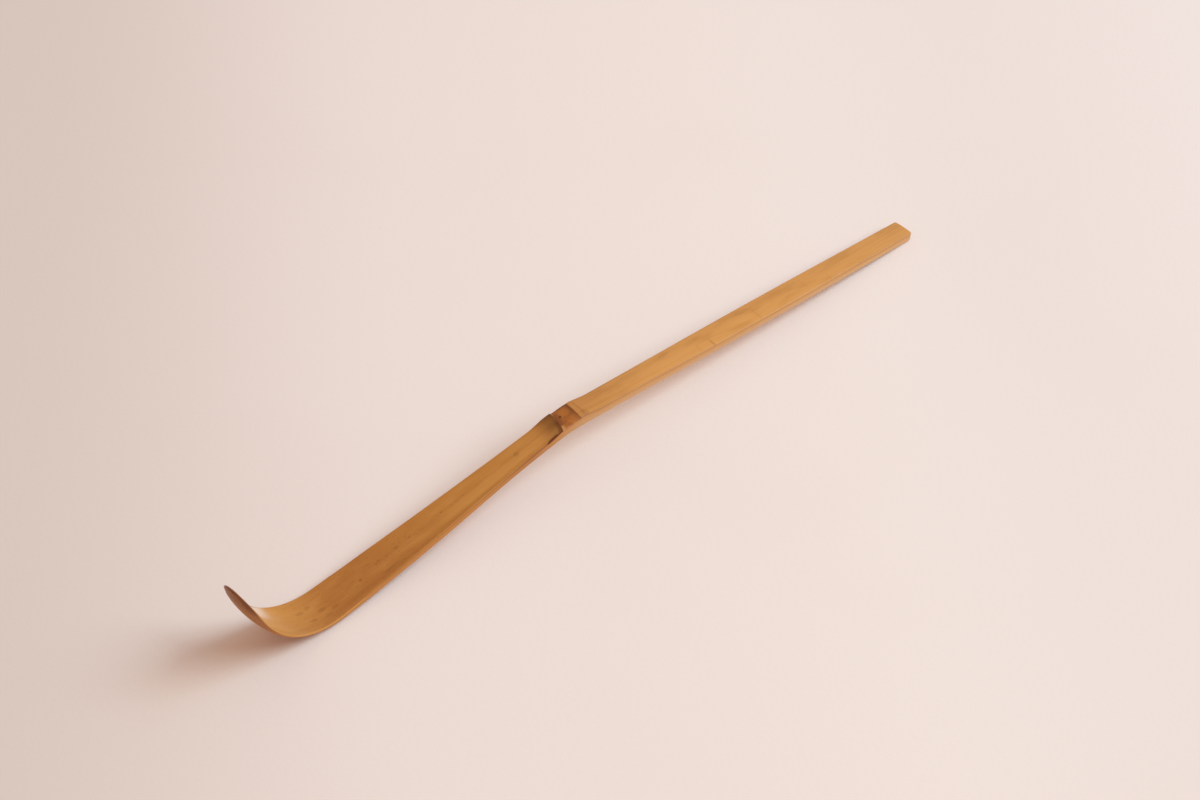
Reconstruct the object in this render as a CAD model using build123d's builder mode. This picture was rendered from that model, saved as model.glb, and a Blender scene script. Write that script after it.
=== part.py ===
from build123d import *
import os
from math import asin, atan2, cos, degrees, hypot, radians, sin, sqrt

# A chashaku, the bamboo tea scoop: one split of culm, skin side up, divided at its growth zones.
# The strip is followed along the middle of its face, from the butt of the handle to the tip of
# the scoop. +X points from the scoop to the butt, +Z is up, and the strip lies on Z = 0.

# Lengths along the face (mm)
handle_length = 96.5
scar_length = 1.3
band_length = 4.2
ridge_length = 3.2
neck_length = 10.0
taper_length = 20.0
flare_length = 16.0
root_length = 9.4
bend_radius = 15.2
tip_radius = 30.5

# Turns in the side view (degrees): the arch at the node, the heat bend, and the curl of the tip
node_turn = 13.8
bend_turn = 63.2
tip_turn = 27.3

# The scoop is rolled a little about its own length, and the ridge lies askew across the strip
scoop_roll = 4.5
ridge_slant = 16.0

# Widths across the strip
butt_width = 5.05
handle_width = 5.7
node_width = 5.1
neck_width = 5.55
blade_width = 7.25
root_width = 8.55
bend_width = 9.5
scoop_width = 9.7

# Thickness from the face to the underside
handle_thickness = 2.2
neck_thickness = 1.95
blade_thickness = 1.7
root_thickness = 1.45
rest_thickness = 1.0
bend_thickness = 0.75
tip_thickness = 0.42

# The stems are bevelled along the underside, and the scoop is thinned from below to a fine rim
stem_bevel = 0.25
rim_bevel = 1.2
rest_rim = 0.8
bend_rim = 0.4
tip_rim = 0.28

# The skin keeps the culm's round up to the neck, then flattens, and is pressed hollow in the scoop
culm_radius = 23.0
neck_crown = 0.1
blade_hollow = 0.06
root_hollow = 0.14
rest_hollow = 0.42
bend_hollow = 0.7
tip_hollow = 0.9

# The culm swells at the node: the ridge and the sheath scar stand higher above the stems than the
# band between them
ridge_height = 0.55
ridge_round = 0.25
band_height = 0.3
scar_height = 0.5

# Rounded end of the scoop, a little wider than the strip where it starts, and the rounded butt
end_length = 9.4
end_clearance = 0.1
heel_round = 0.8
corner_round = 0.6

# Sections that carry the scoop round its bend
scoop_steps = 10

# Where each zone starts, along the face
scar_start = handle_length
band_start = scar_start + scar_length
ridge_start = band_start + band_length
blade_start = ridge_start + ridge_length
neck_end = blade_start + neck_length
taper_end = neck_end + taper_length
root_start = taper_end + flare_length
bend_start = root_start + root_length
curl_start = bend_start + bend_radius * radians(bend_turn)
strip_length = curl_start + tip_radius * radians(tip_turn)

# Straight runs and arcs of the face line: length, and turn upwards
runs = [
    (handle_length, 0.0),
    (blade_start - scar_start, -node_turn),
    (bend_start - blade_start, 0.0),
    (curl_start - bend_start, bend_turn),
    (strip_length - curl_start, tip_turn),
]


def walk(distance, pitch):
    """Follow the face line from the butt, and give the point reached and its pitch."""
    x = 0.0
    z = 0.0
    for length, turn in runs:
        step = min(distance, length)
        half_turn = radians(turn) * step / length / 2
        chord = step * (sin(half_turn) / half_turn if half_turn else 1.0)
        heading = radians(pitch) + half_turn
        x -= chord * cos(heading)
        z += chord * sin(heading)
        pitch += degrees(2 * half_turn)
        distance -= step
    return x, z, pitch


# The strip rests on the rounded heel of the butt and on the underside of the bend. Both are circles
# in the side view, and the table is the line that touches them from below.
bend_x, bend_z, bend_pitch = walk(bend_start, 0.0)
heel_drop = handle_thickness - heel_round
gap_x = bend_x + bend_radius * sin(radians(bend_pitch)) + heel_round
gap_z = bend_z + bend_radius * cos(radians(bend_pitch)) + heel_drop
table_turn = asin((bend_radius + rest_thickness - heel_round) / hypot(gap_x, gap_z))
handle_pitch = degrees(table_turn - atan2(gap_z, -gap_x))
rest_start = bend_start - bend_radius * radians(handle_pitch + bend_pitch)
table_z = heel_round * (sin(radians(handle_pitch)) - 1) - heel_drop * cos(radians(handle_pitch))

# The origin lies on the table, below the middle of the overall length
tip_x, tip_z, tip_pitch = walk(strip_length, handle_pitch)
middle_x = (tip_x - tip_thickness * sin(radians(tip_pitch))) / 2


def face_plane(distance, roll=0.0, slant=0.0):
    """Plane across the strip: its X is across to the near side, its Y stands up from the face."""
    x, z, pitch = walk(distance, handle_pitch)
    along = Vector(-cos(radians(pitch)), 0, sin(radians(pitch)))
    upright = Axis((0, 0, 0), (sin(radians(pitch)), 0, cos(radians(pitch))))
    across = Vector(0, -1, 0).rotate(Axis((0, 0, 0), along), roll).rotate(upright, -slant)
    return Plane(origin=(x - middle_x, 0, z - table_z), x_dir=across, z_dir=along.rotate(upright, -slant))


def strip_section(plane, width, crown, thickness, side_end, bevel=stem_bevel, follow=0.0, lift=0.0):
    """Cross-section of the strip: arched face, sides, bevels, and an underside that follows the face."""
    half = width / 2
    foot = half - bevel
    side_top = lift - crown
    belly = -crown * follow * (foot / half) ** 2
    foot_level = belly - thickness
    with BuildSketch(plane) as section:
        with BuildLine():
            ThreePointArc((-half, side_top), (0, lift), (half, side_top))
            Polyline((half, side_top), (half, side_end), (foot, foot_level))
            if belly:
                ThreePointArc((foot, foot_level), (0, -thickness), (-foot, foot_level))
            else:
                Line((foot, foot_level), (-foot, foot_level))
            Polyline((-foot, foot_level), (-half, side_end), (-half, side_top))
        make_face()
    return section.sketch


def stem_section(distance, width, crown, thickness, lift=0.0, slant=0.0):
    """Section of a stem, with a flat underside and square bevels."""
    plane = face_plane(distance, slant=slant)
    return strip_section(plane, width, crown, thickness, stem_bevel - thickness, lift=lift)


def node_section(distance, lift=0.0, slant=0.0):
    """Section of the node, as wide and thick as the stems beside it, with its face lifted."""
    crown = culm_radius - sqrt(culm_radius**2 - (node_width / 2) ** 2)
    across = node_width / cos(radians(slant))
    return stem_section(distance, across, crown, handle_thickness, lift, slant)


def along_scoop(distance, sizes):
    """Size at a distance, on straight lines between the scoop's root, rest, curl and tip."""
    stations = (root_start, rest_start, curl_start, strip_length)
    spans = zip(stations, stations[1:], sizes, sizes[1:])
    for start, end, first, last in spans:
        if distance <= end:
            break
    return first + (last - first) * (distance - start) / (end - start)


def scoop_section(distance):
    """Hollow section of the scoop, rolled more and more towards the tip."""
    roll = scoop_roll * (distance - root_start) / (strip_length - root_start)
    root_rim = root_hollow + root_thickness - stem_bevel
    hollow = along_scoop(distance, (root_hollow, rest_hollow, bend_hollow, tip_hollow))
    rim = along_scoop(distance, (root_rim, rest_rim, bend_rim, tip_rim))
    return strip_section(
        face_plane(distance, roll),
        along_scoop(distance, (root_width, bend_width, scoop_width, scoop_width)),
        -hollow,
        along_scoop(distance, (root_thickness, rest_thickness, bend_thickness, tip_thickness)),
        hollow - rim,
        along_scoop(distance, (stem_bevel, rim_bevel, rim_bevel, rim_bevel)),
        along_scoop(distance, (0.0, 1.0, 1.0, 1.0)),
    )


# Handle: a barrelled plan with rounded butt corners, split from the culm and bevelled below, with
# its heel rounded
butt_plane = face_plane(0)
handle_plane = Plane(butt_plane.origin, x_dir=butt_plane.z_dir, z_dir=butt_plane.y_dir)
heel_plane = Plane(butt_plane.origin, x_dir=butt_plane.z_dir, z_dir=(0, 1, 0))
with BuildPart() as handle:
    with BuildSketch(handle_plane) as plan:
        with BuildLine():
            Line((handle_length, -node_width / 2), (handle_length, node_width / 2))
            ThreePointArc(
                (handle_length, node_width / 2),
                (handle_length / 2, handle_width / 2),
                (0, butt_width / 2),
            )
            Line((0, butt_width / 2), (0, -butt_width / 2))
            ThreePointArc(
                (0, -butt_width / 2),
                (handle_length / 2, -handle_width / 2),
                (handle_length, -node_width / 2),
            )
        make_face()
        fillet(plan.vertices().sort_by(Axis.X)[:2], radius=corner_round)
    extrude(amount=-handle_thickness)
    underside = handle.faces().sort_by(Axis(handle_plane.origin, handle_plane.z_dir))[0]
    long_edges = underside.edges().sort_by(SortBy.LENGTH)[-2:]
    chamfer(long_edges, length=stem_bevel)
    with BuildSketch(butt_plane):
        with Locations((0, -culm_radius)):
            Circle(culm_radius)
    extrude(amount=handle_length, mode=Mode.INTERSECT)
    with BuildSketch(heel_plane):
        with BuildLine():
            Polyline(
                (heel_round, -handle_thickness),
                (0, -handle_thickness),
                (0, -heel_drop),
            )
            RadiusArc((heel_round, -handle_thickness), (0, -heel_drop), heel_round)
        make_face()
    extrude(amount=butt_width, both=True, mode=Mode.SUBTRACT)
handle.part.label = "handle"

# Sheath scar, a ring that rises from the handle's face and ends in a step
with BuildPart() as sheath_scar:
    loft(sections=[node_section(scar_start), node_section(band_start, scar_height)])
sheath_scar.part.label = "sheath_scar"

# Band of the node, sunk between its two rings, which ends askew against the ridge
with BuildPart() as node_band:
    band_end = node_section(ridge_start, band_height, ridge_slant)
    loft(sections=[node_section(band_start, band_height), band_end])
node_band.part.label = "node_band"

# Ridge of the node: the blade's face climbs to a rounded lip and drops to the band
with BuildPart() as node_ridge:
    loft(sections=[node_section(ridge_start, ridge_height, ridge_slant), node_section(blade_start)])
    lip = node_ridge.faces().sort_by(Axis.X)[-1].edges().sort_by(Axis.Z)[-1]
    fillet(lip, radius=ridge_round)
node_ridge.part.label = "node_ridge"

# Blade, which widens and flattens from the neck to the root of the scoop
with BuildPart() as blade:
    loft(
        sections=[
            node_section(blade_start),
            stem_section(neck_end, neck_width, neck_crown, neck_thickness),
            stem_section(taper_end, blade_width, -blade_hollow, blade_thickness),
            scoop_section(root_start),
        ]
    )
blade.part.label = "blade"

# Scoop: hollow sections carried round the heat bend, then cut to a rounded end
end_cross = face_plane(strip_length - end_length / 2, scoop_roll)
end_half = scoop_width / 2 + end_clearance
scoop_length = strip_length - root_start
scoop_places = [root_start + scoop_length * step / scoop_steps for step in range(scoop_steps + 1)]
with BuildPart() as scoop:
    loft(sections=[scoop_section(place) for place in scoop_places])
    with BuildSketch(Plane(face_plane(strip_length).origin, x_dir=-end_cross.x_dir, z_dir=end_cross.y_dir)):
        with BuildLine():
            EllipticalCenterArc((0, -end_length), end_half, end_length, arc_size=180)
            Polyline(
                (-end_half, -end_length),
                (-scoop_width, -end_length),
                (-scoop_width, -scoop_length),
                (scoop_width, -scoop_length),
                (scoop_width, -end_length),
                (end_half, -end_length),
            )
        make_face()
    extrude(amount=scoop_length, both=True, mode=Mode.INTERSECT)
scoop.part.label = "scoop"

os.makedirs("parts", exist_ok=True)
for piece in (scoop, blade, node_ridge, node_band, sheath_scar, handle):
    export_step(piece.part, f"parts/{piece.part.label}.step")
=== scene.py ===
import logging
from dataclasses import dataclass
from enum import Enum
from functools import cached_property
from typing import TypeVar, Union

import bpy
import numpy as np
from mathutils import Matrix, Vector


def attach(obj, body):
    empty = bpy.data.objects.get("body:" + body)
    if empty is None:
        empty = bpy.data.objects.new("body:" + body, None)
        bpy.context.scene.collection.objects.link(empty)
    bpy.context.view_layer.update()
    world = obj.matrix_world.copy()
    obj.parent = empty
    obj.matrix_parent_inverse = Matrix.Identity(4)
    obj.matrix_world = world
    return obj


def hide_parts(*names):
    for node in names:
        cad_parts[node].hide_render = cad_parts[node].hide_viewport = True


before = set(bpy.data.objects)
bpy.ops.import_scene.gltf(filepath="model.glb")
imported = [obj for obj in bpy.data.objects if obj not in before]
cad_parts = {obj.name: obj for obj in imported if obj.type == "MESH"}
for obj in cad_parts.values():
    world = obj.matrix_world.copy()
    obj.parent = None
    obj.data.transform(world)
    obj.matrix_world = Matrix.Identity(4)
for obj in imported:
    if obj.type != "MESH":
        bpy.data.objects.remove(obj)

LOG = logging.getLogger("tea_scoop")
Array = np.ndarray
Colour = tuple[float, float, float, float]
Feed = Union["Link", float, tuple]
Spread = TypeVar("Spread", Array, "Link")

MM = 0.001
BUMP_DEPTH = 0.03
NOISE_ROUGHNESS = 0.55
BEND_STATION = 7


def tone(red: float, green: float, blue: float) -> Colour:
    """Turn a display colour into the linear colour that a shader takes.

    Args:
        red: display value from 0 to 255.
        green: display value from 0 to 255.
        blue: display value from 0 to 255.

    Returns:
        Linear red, green and blue, and an alpha of 1.
    """
    display = np.array((red, green, blue)) / 255
    linear = np.where(display <= 0.04045, display / 12.92, ((display + 0.055) / 1.055) ** 2.4)
    return (*linear.tolist(), 1.0)


RUST = tone(132, 66, 26)
BROWN = tone(126, 72, 30)
CHALK = tone(214, 176, 150)


def ease(value: Array, low: float, high: float) -> Array:
    """Smooth step: 0 below low, 1 above high, and 3t^2 - 2t^3 of the share t between them.

    Args:
        value: what is measured.
        low: where the step starts.
        high: where the step ends.

    Returns:
        The step's height at each value.
    """
    share = np.clip((value - low) / (high - low), 0.0, 1.0)
    return share * share * (3 - 2 * share)


def quarter_round(distance: Array, radius: float) -> Array:
    """Height of a quarter circle of that radius, from 0 where it starts to 1 where it levels out.

    Args:
        distance: how far past the start, in the radius' own units.
        radius: how far the rounding reaches.

    Returns:
        The share of the full height at each distance.
    """
    left = 1 - np.clip(distance / radius, 0.0, 1.0)
    return np.sqrt(1 - left * left)


def curve_through(knots: Array, values: Array, where: Array) -> Array:
    """Smooth curve through points that never swings past them.

    Each span is a cubic Hermite polynomial. A knot's slope is the harmonic mean of the slopes on
    its two sides, or level where they differ in sign.

    Args:
        knots: places of the points, rising.
        values: heights of the points.
        where: places to read the curve at.

    Returns:
        The curve's height at each place.
    """
    spans = np.diff(knots)
    slopes = np.diff(values) / spans
    before, after = slopes[:-1], slopes[1:]
    level = before * after <= 0
    inner = np.where(level, 0.0, 2 * before * after / np.where(level, 1.0, before + after))
    tangents = np.concatenate((slopes[:1], inner, slopes[-1:]))
    span = np.clip(np.searchsorted(knots, where, side="right") - 1, 0, len(spans) - 1)
    share = np.clip((where - knots[span]) / spans[span], 0.0, 1.0)
    first = (1 + 2 * share) * (1 - share) ** 2 * values[span]
    second = share**2 * (3 - 2 * share) * values[span + 1]
    leave = share * (1 - share) ** 2 * spans[span] * tangents[span]
    arrive = share**2 * (share - 1) * spans[span] * tangents[span + 1]
    return first + second + leave + arrive


def squares(index: Array) -> Array:
    """Faces of a grid of points.

    Args:
        index: number of the point at each place of the grid.

    Returns:
        The four point numbers of each face, first along a row of the grid.
    """
    ring = (index[:-1, :-1], index[:-1, 1:], index[1:, 1:], index[1:, :-1])
    return np.stack(ring, axis=-1).reshape(-1, 4)


def add(name: str, data: bpy.types.ID) -> bpy.types.Object:
    """Put a mesh, lamp or camera into the scene as an object at the origin.

    Args:
        name: name of the object.
        data: the mesh, lamp or camera.

    Returns:
        The object.
    """
    thing = bpy.data.objects.new(name, data)
    bpy.context.scene.collection.objects.link(thing)
    return thing


def aim(thing: bpy.types.Object, place: Vector, ahead: Vector) -> None:
    """Set a lamp or a camera in its place and turn it to look ahead."""
    thing.location = place
    thing.rotation_euler = ahead.to_track_quat("-Z", "Y").to_euler()


class Zone(Enum):
    """Zones of the strip from the butt on, by the names of the solids that they stand for."""

    HANDLE = "handle"
    SCAR = "sheath_scar"
    BAND = "node_band"
    RIDGE = "node_ridge"
    BLADE = "blade"
    SCOOP = "scoop"


@dataclass(frozen=True)
class Strip:
    """The split of bamboo that each piece is a stretch of, in millimetres and degrees.

    Places are given as the distance along the face from the butt, the way across to the near side,
    and the height above the face line. The tables give sizes of the section at the ten stations.
    """

    handle_length: float = 96.5
    scar_length: float = 1.3
    band_length: float = 4.2
    ridge_length: float = 3.2
    neck_length: float = 10.0
    taper_length: float = 20.0
    flare_length: float = 16.0
    root_length: float = 9.4
    bend_radius: float = 15.2
    tip_radius: float = 30.5
    node_turn: float = 13.8
    bend_turn: float = 63.2
    tip_turn: float = 27.3
    scoop_roll: float = 4.5
    tip_lean: float = 0.3
    widths: tuple = (5.05, 5.7, 5.1, 5.1, 5.55, 7.25, 8.55, 9.5, 9.7, 9.7)
    thicknesses: tuple = (2.2, 2.2, 2.2, 2.2, 1.95, 1.7, 1.45, 1.0, 0.75, 0.42)
    rises: tuple = (-0.139, -0.177, -0.142, -0.142, -0.1, 0.06, 0.14, 0.42, 0.7, 0.9)
    rims: tuple = (1.811, 1.773, 1.808, 1.808, 1.6, 1.51, 1.34, 0.8, 0.4, 0.28)
    bevels: tuple = (0.25, 0.25, 0.25, 0.25, 0.25, 0.25, 0.25, 1.2, 1.2, 1.2)
    edges: tuple = (0.3, 0.3, 0.22, 0.16, 0.16, 0.2, 0.2, 0.16, 0.14, 0.1)
    sways: tuple = (0.0, 0.0, 0.0, 0.0, 0.02, 0.17, 0.06, 0.08, 0.0, 0.0)
    follows: tuple = (0.0, 0.0, 0.0, 0.0, 0.0, 0.0, 0.0, 1.0, 1.0, 1.0)
    heel_round: float = 0.8
    corner_round: float = 0.6
    brow_round: float = 0.22
    end_length: float = 9.4
    end_half: float = 4.95
    scar_slant: float = 0.07
    scar_height: float = 0.52
    scar_climb: float = 4.3
    scar_crown: float = 1.0
    band_height: float = 0.42
    band_fall: float = 0.2
    band_slope: tuple = (0.15, 0.9)
    lip_slant: float = 0.2
    lip_bow: float = 0.033
    lip_height: float = 0.55
    lip_crown: float = 0.6
    lip_fall: float = 6.0
    lip_shoulder: float = 0.45
    shoulder_slope: tuple = (1.2, 2.6)

    @cached_property
    def starts(self) -> dict[Zone, float]:
        """Distance along the face at which each zone starts.

        Returns:
            The distance of each zone.
        """
        blade = self.neck_length + self.taper_length + self.flare_length
        node = (self.scar_length, self.band_length, self.ridge_length)
        return dict(zip(Zone, np.cumsum((0.0, self.handle_length, *node, blade)).tolist()))

    @cached_property
    def bend_start(self) -> float:
        """Where the heat bend starts."""
        return self.starts[Zone.SCOOP] + self.root_length

    @cached_property
    def curl_start(self) -> float:
        """Where the bend gives way to the gentler curl of the tip."""
        return self.bend_start + self.bend_radius * np.radians(self.bend_turn)

    @cached_property
    def length(self) -> float:
        """Length of the whole strip along its face."""
        return self.curl_start + self.tip_radius * np.radians(self.tip_turn)

    @cached_property
    def rest(self) -> tuple[float, float, float]:
        """Pitch of the handle, place of the lowest point of the bend, and level of the table.

        The table is the line that touches two circles from below: the rounded heel of the butt and
        the underside of the bend.

        Returns:
            The pitch in degrees, and the place along the face and the level in millimetres.
        """
        x, z, pitch = (float(v[0]) for v in self.walk(np.array([self.bend_start]), 0.0))
        heel = self.thicknesses[0] - self.heel_round
        run = x + self.bend_radius * np.sin(pitch) + self.heel_round
        climb = z + self.bend_radius * np.cos(pitch) + heel
        reach = self.bend_radius + self.thicknesses[BEND_STATION] - self.heel_round
        tilt = np.arcsin(reach / np.hypot(run, climb)) - np.arctan2(climb, -run)
        lowest = self.bend_start - self.bend_radius * (tilt + pitch)
        level = self.heel_round * (np.sin(tilt) - 1) - heel * np.cos(tilt)
        return float(np.degrees(tilt)), lowest, float(level)

    @cached_property
    def middle(self) -> float:
        """Half of the overall length, from the butt's face edge, as a place on X."""
        x, _, pitch = (float(v[0]) for v in self.walk(np.array([self.length]), self.rest[0]))
        return (x - self.thicknesses[-1] * np.sin(pitch)) / 2

    @cached_property
    def stations(self) -> Array:
        """Distances at which the tables of section sizes are given.

        Returns:
            The ten distances, rising.
        """
        blade, scoop = self.starts[Zone.BLADE], self.starts[Zone.SCOOP]
        neck = blade + self.neck_length
        handle = (0.0, self.handle_length / 2, self.handle_length)
        stem = (blade, neck, neck + self.taper_length, scoop)
        return np.array((*handle, *stem, self.rest[1], self.curl_start, self.length))

    def walk(self, distance: Array, pitch: float) -> tuple[Array, Array, Array]:
        """Follow the face line over its straight runs and arcs.

        An arc of a given length and turn ends a chord away, along the heading half-way through its
        turn.

        Args:
            distance: distances along the face from the butt.
            pitch: pitch of the handle in degrees.

        Returns:
            X and Z of the points reached, and the pitch there in radians.
        """
        blade = self.starts[Zone.BLADE]
        marks = (0.0, self.handle_length, blade, self.bend_start, self.curl_start, self.length)
        turns = (0.0, -self.node_turn, 0.0, self.bend_turn, self.tip_turn)
        x = np.zeros_like(distance)
        z = np.zeros_like(distance)
        heading = np.full_like(distance, np.radians(pitch))
        for start, end, turn in zip(marks, marks[1:], turns):
            step = np.clip(distance - start, 0.0, end - start)
            half = np.radians(turn) * step / (end - start) / 2
            chord = step * np.sinc(half / np.pi)
            x = x - chord * np.cos(heading + half)
            z = z + chord * np.sin(heading + half)
            heading = heading + 2 * half
        return x, z, heading

    def place(self, distance: Array, across: Array, up: Array) -> Array:
        """Put points given along, across and above the strip into the object's frame.

        The section stands square to the face line, and in the scoop it is rolled about it. The tip
        leans back by a parabola along its curl.

        Args:
            distance: distance along the face.
            across: way to the near side.
            up: height above the face line.

        Returns:
            Points in metres, with X, Y and Z on the last axis.
        """
        tilt, _, level = self.rest
        x, z, pitch = self.walk(distance, tilt)
        root, start, end = self.starts[Zone.SCOOP], self.curl_start, self.length
        curl = np.clip((distance - start) / (end - start), 0.0, 1.0)
        roll = np.radians(self.scoop_roll) * np.clip((distance - root) / (end - root), 0.0, 1.0)
        side = across * np.cos(roll) - up * np.sin(roll)
        rise = across * np.sin(roll) + up * np.cos(roll)
        x = x + self.tip_lean * curl**2 - self.middle + np.sin(pitch) * rise
        return np.stack((x, -side, z - level + np.cos(pitch) * rise), axis=-1) * MM

    def size(self, table: tuple, distance: Array) -> Array:
        """Read one of the tables of section sizes, on a smooth curve through its stations."""
        return curve_through(self.stations, np.array(table), distance)

    def half_width(self, distance: Array) -> Array:
        """Half of the width, with the butt's corners and the scoop's end rounded off.

        The corners are quarter circles, and the end is half an ellipse.

        Args:
            distance: distance along the face.

        Returns:
            Half of the width at each distance.
        """
        half = self.size(self.widths, distance) / 2
        corner = self.corner_round * (1 - quarter_round(distance, self.corner_round))
        past = np.clip((distance - self.length + self.end_length) / self.end_length, 0.0, 1.0)
        return np.minimum(half - corner, self.end_half * np.sqrt(1 - past * past))

    def scar_edge(self, across: Spread) -> Spread:
        """How far the scar's edge lies past its place at the middle: a slant across."""
        return self.scar_slant * across

    def lip_edge(self, across: Spread) -> Spread:
        """How far the ridge's lip lies past its place at the middle: a slant and a bow across."""
        return self.lip_slant * across + self.lip_bow * across**2

    def lower_swell(self, distance: Array) -> Array:
        """Rise of the handle and the scar towards the band, a smooth step."""
        end = self.handle_length
        return self.scar_height * ease(distance, end - self.scar_climb, end + self.scar_crown)

    def upper_swell(self, distance: Array, across: Array) -> Array:
        """Fall of the ridge into the blade, a smooth step, lower at the near shoulder.

        Args:
            distance: distance along the face.
            across: way to the near side.

        Returns:
            Height of the swell at each point.
        """
        lip = self.starts[Zone.RIDGE]
        crest = self.lip_height * (1 - ease(distance, lip + self.lip_crown, lip + self.lip_fall))
        return crest * (1 - self.lip_shoulder * ease(across, *self.shoulder_slope))

    def waist(self, share: Array) -> Array:
        """Height of the band, which falls by a smooth step from the scar to the ridge."""
        return self.band_height - self.band_fall * ease(share, *self.band_slope)


class Link:
    """One socket of a shader graph, with the operators that shader maths needs."""

    def __init__(self, graph: "Graph", socket: bpy.types.NodeSocket) -> None:
        """Keep the graph, to which maths adds its nodes, and the socket."""
        self.graph = graph
        self.socket = socket

    def __add__(self, other: Feed) -> "Link":
        """Sum."""
        return self.graph.math("ADD", self, other)

    def __radd__(self, other: Feed) -> "Link":
        """Sum, with the number first."""
        return self.graph.math("ADD", other, self)

    def __sub__(self, other: Feed) -> "Link":
        """Difference."""
        return self.graph.math("SUBTRACT", self, other)

    def __rsub__(self, other: Feed) -> "Link":
        """Difference, with the number first."""
        return self.graph.math("SUBTRACT", other, self)

    def __mul__(self, other: Feed) -> "Link":
        """Product."""
        return self.graph.math("MULTIPLY", self, other)

    def __rmul__(self, other: Feed) -> "Link":
        """Product, with the number first."""
        return self.graph.math("MULTIPLY", other, self)

    def __truediv__(self, other: Feed) -> "Link":
        """Quotient."""
        return self.graph.math("DIVIDE", self, other)

    def __rtruediv__(self, other: Feed) -> "Link":
        """Quotient, with the number first."""
        return self.graph.math("DIVIDE", other, self)

    def __pow__(self, other: Feed) -> "Link":
        """Power."""
        return self.graph.math("POWER", self, other)

    def __abs__(self) -> "Link":
        """Size without its sign."""
        return self.graph.math("ABSOLUTE", self)

    def past(self, low: float, high: float) -> "Link":
        """Smooth step from 0 at low to 1 at high.

        Args:
            low: where the step starts.
            high: where the step ends.

        Returns:
            The step's height.
        """
        settings = {"interpolation_type": "SMOOTHSTEP"}
        inputs = {0: self, 1: low, 2: high, 3: 0.0, 4: 1.0}
        return Link(self.graph, self.graph.node("ShaderNodeMapRange", settings, inputs).outputs[0])

    def short(self, low: float, high: float) -> "Link":
        """Smooth step from 1 at low to 0 at high."""
        return 1 - self.past(low, high)

    def between(self, low: float, high: float, soft: float) -> "Link":
        """Window that is 1 from low to high and fades out over soft on both sides."""
        return self.past(low - soft, low) * self.short(high, high + soft)


@dataclass(frozen=True)
class Place:
    """Where a point of the surface lies on the strip, in millimetres, as links of one graph.

    The share is the way across in half widths, from -1 at the far edge to 1 at the near one.
    """

    whole: Link
    along: Link
    across: Link
    depth: Link
    share: Link


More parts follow.
